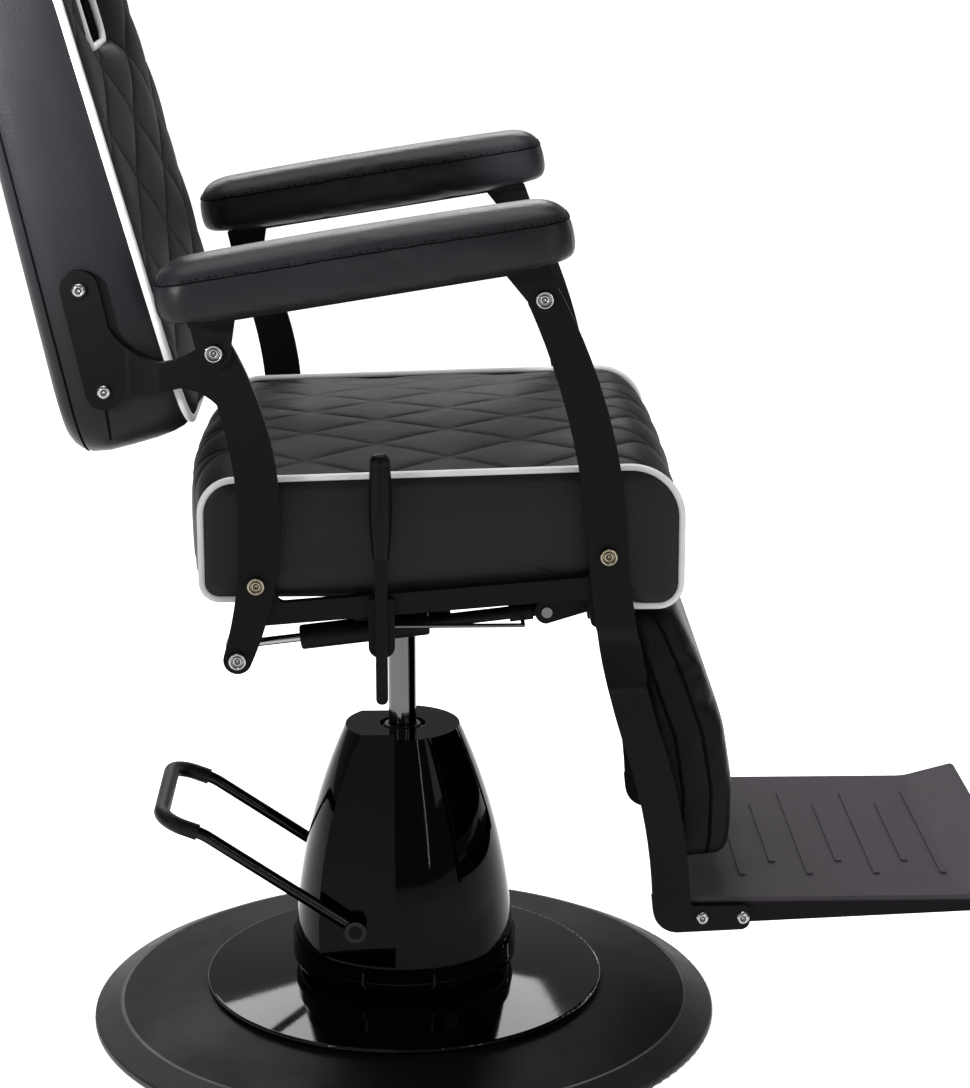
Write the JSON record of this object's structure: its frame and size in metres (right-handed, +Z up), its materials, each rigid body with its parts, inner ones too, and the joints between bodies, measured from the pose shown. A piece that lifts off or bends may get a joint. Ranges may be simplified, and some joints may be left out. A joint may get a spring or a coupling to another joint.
{
  "type": "barber chair",
  "caption": "Reclining barber chair on a round hydraulic base, with quilted black upholstery, linked armrests and leg rest, pump pedal, recline lever and headrest.",
  "frame": {"origin": "on the floor under the swivel axis, at the middle of the base's underside", "axes": "+X forward, the way the sitter faces; +Y to the sitter's left; +Z up along the swivel axis"},
  "size_m": [1.0064, 0.644, 1.3111],
  "materials": {
    "leather": "satin",
    "matte_black": "matte",
    "gloss_black": "gloss",
    "chrome": "polished",
    "bright_steel": "satin",
    "machined_steel": "machined",
    "bronze": "machined",
    "black_rubber": "matte",
    "edge_rubber": "satin",
    "ply": "raw",
    "tray_grey": "textured",
    "grip_plastic": "matte"
  },
  "bodies": {
    "base": {"base_underlay": "matte_black", "base_ring": "edge_rubber", "base_plate": "matte_black", "base_flange": "gloss_black", "cover_collar": "gloss_black", "pump_cover": "gloss_black", "pump_cylinder": "machined_steel", "base_bolts": "bright_steel", "gland_bush": "bronze", "wiper_ring": "black_rubber", "pump_block": "machined_steel"},
    "piston": {"piston": "chrome"},
    "seat": {"swivel_socket": "machined_steel", "mount_plate": "matte_black", "mount_riser": "matte_black", "mount_bolts": "bright_steel", "side_rail_right": "matte_black", "side_rail_left": "matte_black", "cross_members": "matte_black", "bearers": "matte_black", "seat_board": "ply", "pivot_washers": "bright_steel", "lower_pivot_bolts": "bright_steel", "seat_cushion": "leather", "lever_bracket": "matte_black", "spring_fork": "matte_black", "spring_pin": "bright_steel"},
    "pedal": {"pedal_bar": "gloss_black", "pedal_sleeve": "black_rubber", "pedal_shaft": "machined_steel"},
    "lever": {"lever_bar": "matte_black", "lever_grip": "grip_plastic", "lever_crank": "machined_steel"},
    "release_rod": {"release_rod": "bright_steel"},
    "back": {"rear_plate_right": "matte_black", "rear_plate_left": "matte_black", "back_plate_bolts": "bright_steel", "upper_rear_bolts": "bright_steel", "crossbar_bolts": "bright_steel", "recline_crossbar": "chrome", "back_shell": "leather", "back_board": "ply", "back_cushion": "leather", "headrest_guides": "machined_steel"},
    "headrest": {"headrest_posts": "chrome", "headrest_pad": "leather"},
    "armrest_right": {"armrest_pad_right": "leather", "armrest_bracket_right": "matte_black"},
    "armrest_left": {"armrest_pad_left": "leather", "armrest_bracket_left": "matte_black"},
    "legs": {"leg_plate_right": "matte_black", "leg_plate_left": "matte_black", "upper_front_bolts": "bright_steel", "footrest_bolts": "bright_steel", "leg_cross_tube": "matte_black", "footrest_tray": "tray_grey", "calf_pad": "leather", "calf_board": "ply"},
    "spring_cylinder": {"spring_cylinder": "matte_black"},
    "spring_rod": {"spring_rod": "chrome"}
  },
  "joints": [
    {"name": "lift", "type": "slide", "parent": "base", "child": "piston", "axis": [0, 0, 1], "range_m": [-0.09, 0.06]},
    {"name": "swivel", "type": "hinge", "parent": "piston", "child": "seat", "pos_m": [0, 0, 0.42], "axis": [0, 0, 1], "continuous": true},
    {"name": "recline", "type": "hinge", "parent": "seat", "child": "back", "pos_m": [-0.129, 0, 0.523], "axis": [0, -1, 0], "range_deg": [0, 30]},
    {"name": "leg_lift", "type": "hinge", "parent": "seat", "child": "legs", "pos_m": [0.187, 0, 0.548], "axis": [0, -1, 0], "range_deg": [0, 28]},
    {"name": "armrest_tilt_right", "type": "hinge", "parent": "back", "child": "armrest_right", "pos_m": [-0.161, 0, 0.736], "axis": [0, -1, 0], "range_deg": [-32.5, 0]},
    {"name": "armrest_tilt_left", "type": "hinge", "parent": "back", "child": "armrest_left", "pos_m": [-0.161, 0, 0.736], "axis": [0, -1, 0], "range_deg": [-32.5, 0]},
    {"name": "spring_swing", "type": "hinge", "parent": "seat", "child": "spring_cylinder", "pos_m": [0.134, -0.21, 0.484], "axis": [0, -1, 0], "range_deg": [0, 1]},
    {"name": "spring_stroke", "type": "slide", "parent": "spring_cylinder", "child": "spring_rod", "axis": [0.9935, 0, 0.1137], "range_m": [0, 0.04]},
    {"name": "headrest_height", "type": "slide", "parent": "back", "child": "headrest", "axis": [-0.2639, 0, 0.9646], "range_m": [0, 0.08]},
    {"name": "pump_pedal", "type": "hinge", "parent": "base", "child": "pedal", "pos_m": [-0.048, 0, 0.117], "axis": [0, -1, 0], "range_deg": [0, 25], "stiffness_Nm_per_rad": 20, "springref_deg": -17.19},
    {"name": "recline_lever", "type": "hinge", "parent": "seat", "child": "lever", "pos_m": [-0.017, 0, 0.464], "axis": [0, -1, 0], "range_deg": [0, 20], "stiffness_Nm_per_rad": 3, "springref_deg": -20.05},
    {"name": "release_pull", "type": "slide", "parent": "seat", "child": "release_rod", "axis": [1, 0, 0], "range_m": [-0.006, 0]}
  ],
  "couplings": [
    {"joint": "leg_lift", "follows": "recline", "ratio": 0.9093},
    {"joint": "armrest_tilt_right", "follows": "recline", "ratio": -1.0606},
    {"joint": "armrest_tilt_left", "follows": "recline", "ratio": -1.0606},
    {"joint": "spring_swing", "follows": "recline", "ratio": 0.03024},
    {"joint": "spring_stroke", "follows": "recline", "m_per_rad": 0.07105},
    {"joint": "release_pull", "follows": "recline_lever", "m_per_rad": -0.01}
  ]
}
